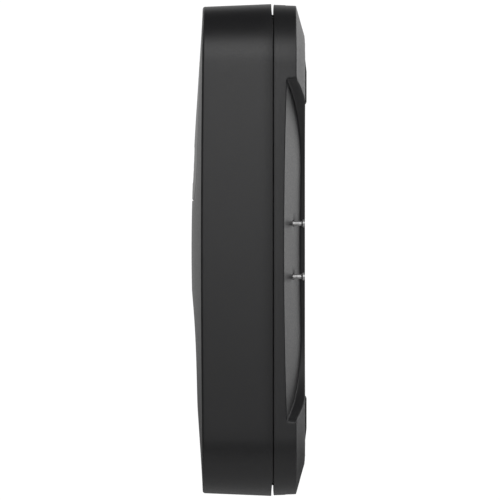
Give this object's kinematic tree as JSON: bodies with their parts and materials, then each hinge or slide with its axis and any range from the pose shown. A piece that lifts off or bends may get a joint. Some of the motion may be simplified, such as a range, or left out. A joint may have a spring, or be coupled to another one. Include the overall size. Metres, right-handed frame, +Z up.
{
  "type": "video doorbell",
  "caption": "Slim upright video doorbell with a crowned front, camera window, round bell button, and wire terminals in a side scallop of its back.",
  "frame": {"origin": "centre of the four wall screw holes, in the plane of the wall that the rear pads stand on", "axes": "+Z up; the front with the camera and button faces -Y, so +Y points into the wall; +X is the side of the wire terminals"},
  "size_m": [0.062, 0.0298, 0.1264],
  "materials": {
    "faceplate_plastic": "satin, fine moulded grain",
    "housing_plastic": "satin, fine moulded grain",
    "window_plastic": "gloss black, infrared clear",
    "inner_plastic": "matt moulded",
    "button_plastic": "satin",
    "diffuser": "translucent milky white",
    "clear_cover": "polished, faintly tinted",
    "lens_glass": "coated glass",
    "circuit_board": "green solder mask",
    "chip_black": "moulded epoxy",
    "part_ceramic": "small surface parts",
    "connector_white": "nylon",
    "shield_tin": "tinned sheet",
    "screw_steel": "nickel plated",
    "brass": "machined",
    "copper_film": "copper on amber film",
    "cell_wrap": "shrink sleeve",
    "rubber_black": "moulded rubber",
    "foam_grey": "open foam",
    "mesh_cloth": "fine acoustic cloth",
    "cone_paper": "pressed film",
    "wire_jacket": "soft jacket",
    "led_lens": "moulded dome",
    "setup_orange": "satin"
  },
  "bodies": {
    "base": {"front_housing": "inner_plastic", "rear_housing": "housing_plastic", "housing_seal": "rubber_black", "rear_pads": "rubber_black", "housing_screws": "screw_steel", "camera_window": "window_plastic", "lens_bezel": "window_plastic", "lens_cover": "clear_cover", "lens_barrel": "inner_plastic", "lens_elements": "lens_glass", "light_baffle": "rubber_black", "camera_holder": "inner_plastic", "camera_board": "circuit_board", "image_sensor": "chip_black", "infrared_board": "circuit_board", "infrared_leds": "led_lens", "light_sensor": "chip_black", "microphone": "brass", "microphone_gasket": "rubber_black", "motion_lens": "button_plastic", "motion_sensor": "shield_tin", "motion_board": "circuit_board", "button_switch": "shield_tin", "button_seal": "rubber_black", "button_board": "circuit_board", "light_ring": "diffuser", "ring_leds": "connector_white", "button_ribbon": "copper_film", "main_board": "circuit_board", "board_screws": "screw_steel", "radio_shield": "shield_tin", "processor_chips": "chip_black", "board_parts": "part_ceramic", "board_connectors": "connector_white", "antenna": "copper_film", "battery_cells": "cell_wrap", "battery_strips": "shield_tin", "battery_foam": "foam_grey", "battery_board": "circuit_board", "battery_leads": "wire_jacket", "speaker_frame": "inner_plastic", "speaker_magnet": "shield_tin", "speaker_gasket": "rubber_black", "speaker_mesh": "mesh_cloth", "terminal_bushes": "brass", "terminal_strips": "brass", "side_board": "circuit_board", "charging_port": "shield_tin", "setup_switch": "shield_tin"},
    "faceplate": {"faceplate": "faceplate_plastic"},
    "security_washer": {"security_washer": "rubber_black"},
    "security_screw": {"security_screw": "screw_steel"},
    "bell_button": {"bell_button": "button_plastic", "button_plunger": "inner_plastic"},
    "setup_button": {"setup_button": "setup_orange"},
    "speaker_cone": {"speaker_cone": "cone_paper"},
    "terminal_ring_upper": {"terminal_ring_upper": "screw_steel"},
    "terminal_screw_upper": {"terminal_screw_upper": "screw_steel"},
    "terminal_ring_lower": {"terminal_ring_lower": "screw_steel"},
    "terminal_screw_lower": {"terminal_screw_lower": "screw_steel"}
  },
  "joints": [
    {"name": "faceplate_pull_off", "type": "slide", "parent": "base", "child": "faceplate", "axis": [0, -1, 0], "range_m": [0, 0.03]},
    {"name": "security_screw_travel", "type": "slide", "parent": "faceplate", "child": "security_washer", "axis": [0, 0, -1], "range_m": [0, 0.002]},
    {"name": "security_screw_turn", "type": "hinge", "parent": "security_washer", "child": "security_screw", "pos_m": [0, -0.014, -0.0625], "axis": [0, 0, -1], "range_deg": [0, 1440]},
    {"name": "bell_press", "type": "slide", "parent": "base", "child": "bell_button", "axis": [0, 1, 0], "range_m": [0, 0.0004], "stiffness_N_per_m": 600},
    {"name": "setup_press", "type": "slide", "parent": "base", "child": "setup_button", "axis": [0, -1, 0], "range_m": [0, 0.0004], "stiffness_N_per_m": 500},
    {"name": "cone_travel", "type": "slide", "parent": "base", "child": "speaker_cone", "axis": [0, 0, -1], "range_m": [-0.00015, 0.00015], "stiffness_N_per_m": 400},
    {"name": "terminal_upper_travel", "type": "slide", "parent": "base", "child": "terminal_ring_upper", "axis": [0, 1, 0], "range_m": [-0.0015, 0.0005]},
    {"name": "terminal_upper_turn", "type": "hinge", "parent": "terminal_ring_upper", "child": "terminal_screw_upper", "pos_m": [0.022, -0.003, 0.0068], "axis": [0, 1, 0], "range_deg": [-1080, 360]},
    {"name": "terminal_lower_travel", "type": "slide", "parent": "base", "child": "terminal_ring_lower", "axis": [0, 1, 0], "range_m": [-0.0015, 0.0005]},
    {"name": "terminal_lower_turn", "type": "hinge", "parent": "terminal_ring_lower", "child": "terminal_screw_lower", "pos_m": [0.022, -0.003, -0.0068], "axis": [0, 1, 0], "range_deg": [-1080, 360]}
  ],
  "couplings": [
    {"joint": "security_screw_turn", "follows": "security_screw_travel", "rad_per_m": 12566},
    {"joint": "terminal_upper_turn", "follows": "terminal_upper_travel", "rad_per_m": 12566},
    {"joint": "terminal_lower_turn", "follows": "terminal_lower_travel", "rad_per_m": 12566}
  ]
}
